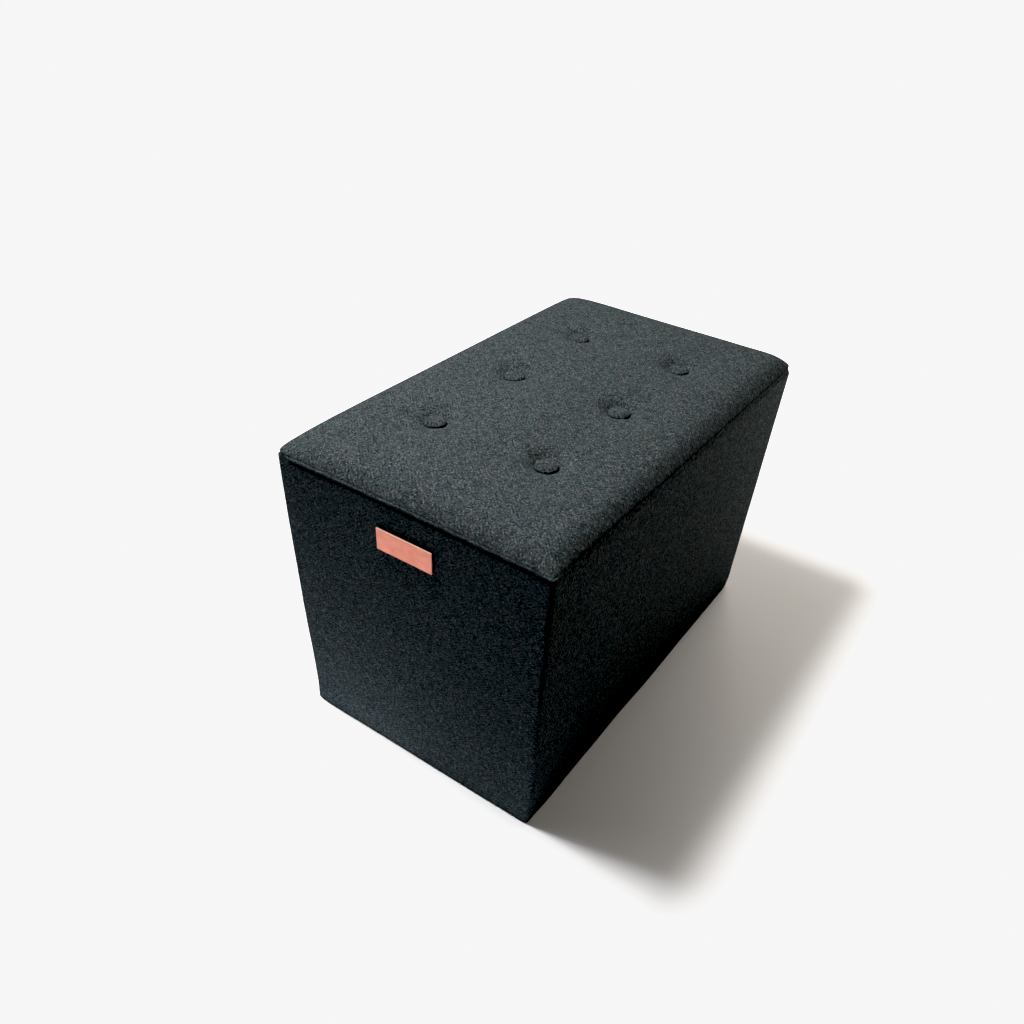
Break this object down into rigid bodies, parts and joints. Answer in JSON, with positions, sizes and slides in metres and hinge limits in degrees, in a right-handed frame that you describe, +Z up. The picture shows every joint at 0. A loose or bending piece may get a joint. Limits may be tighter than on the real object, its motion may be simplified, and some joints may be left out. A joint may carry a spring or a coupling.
{
  "type": "upholstered storage bench",
  "caption": "Box-shaped storage bench covered in charcoal heathered cloth, with a padded buttoned lid that lifts off and a bare copper-coloured plate on its end.",
  "frame": {"origin": "on the floor, under the middle of the bench", "axes": "+Z up, +Y along the bench away from the end with the plate, +X towards the long side that the picture shows"},
  "size_m": [0.357, 0.6018, 0.4008],
  "materials": {
    "charcoal_cloth": "heathered plain weave, matt",
    "plain_cloth": "plain dark cover cloth, matt",
    "copper_plate": "satin copper-coloured metal"
  },
  "bodies": {
    "bench_box": {"front_wall": "charcoal_cloth", "back_wall": "charcoal_cloth", "left_wall": "charcoal_cloth", "right_wall": "charcoal_cloth", "base_board": "plain_cloth", "end_plate": "copper_plate"},
    "lid": {"lid_pad": "charcoal_cloth", "lid_board": "plain_cloth", "button_1": "charcoal_cloth", "button_2": "charcoal_cloth", "button_3": "charcoal_cloth", "button_4": "charcoal_cloth", "button_5": "charcoal_cloth", "button_6": "charcoal_cloth"}
  },
  "joints": [
    {"name": "lid_lift", "type": "slide", "parent": "bench_box", "child": "lid", "axis": [0, 0, 1], "range_m": [0, 0.2]}
  ]
}
